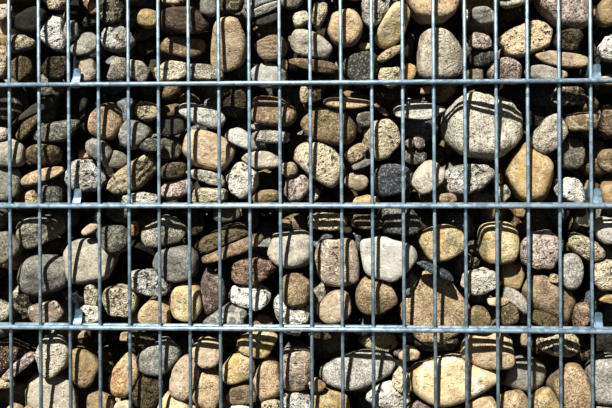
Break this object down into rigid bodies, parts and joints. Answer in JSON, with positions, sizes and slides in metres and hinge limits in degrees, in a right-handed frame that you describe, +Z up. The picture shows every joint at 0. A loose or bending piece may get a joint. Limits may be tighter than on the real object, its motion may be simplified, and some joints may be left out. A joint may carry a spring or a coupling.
{
  "type": "gabion wall",
  "caption": "Free-standing gabion wall: welded double-rod mesh basket tied by folded straps and filled with rounded river stones.",
  "frame": {"origin": "middle of the footprint, on the ground", "axes": "+X along the wall, +Y from the pictured front face to the back face, +Z up"},
  "size_m": [1.662, 0.422, 0.83],
  "materials": {
    "galvanised_mesh": "galvanised, dull blue-grey, lightly weathered",
    "galvanised_sheet": "galvanised sheet, pale blue-grey",
    "stone": "rounded river stones in sand, beige, grey and ochre"
  },
  "bodies": {
    "root": {"front_mat": "galvanised_mesh", "back_mat": "galvanised_mesh", "left_end_mat": "galvanised_mesh", "right_end_mat": "galvanised_mesh", "left_front_clips": "galvanised_sheet", "right_front_clips": "galvanised_sheet", "left_back_clips": "galvanised_sheet", "right_back_clips": "galvanised_sheet", "tie_strap_1_1": "galvanised_sheet", "tie_strap_1_2": "galvanised_sheet", "tie_strap_1_3": "galvanised_sheet", "tie_strap_1_4": "galvanised_sheet", "tie_strap_2_1": "galvanised_sheet", "tie_strap_2_2": "galvanised_sheet", "tie_strap_2_3": "galvanised_sheet", "tie_strap_2_4": "galvanised_sheet", "stone_fill_1_1": "stone", "stone_fill_1_2": "stone", "stone_fill_1_3": "stone", "stone_fill_1_4": "stone", "stone_fill_2_1": "stone", "stone_fill_2_2": "stone", "stone_fill_2_3": "stone", "stone_fill_2_4": "stone", "stone_fill_3_1": "stone", "stone_fill_3_2": "stone", "stone_fill_3_3": "stone", "stone_fill_3_4": "stone"}
  },
  "joints": []
}
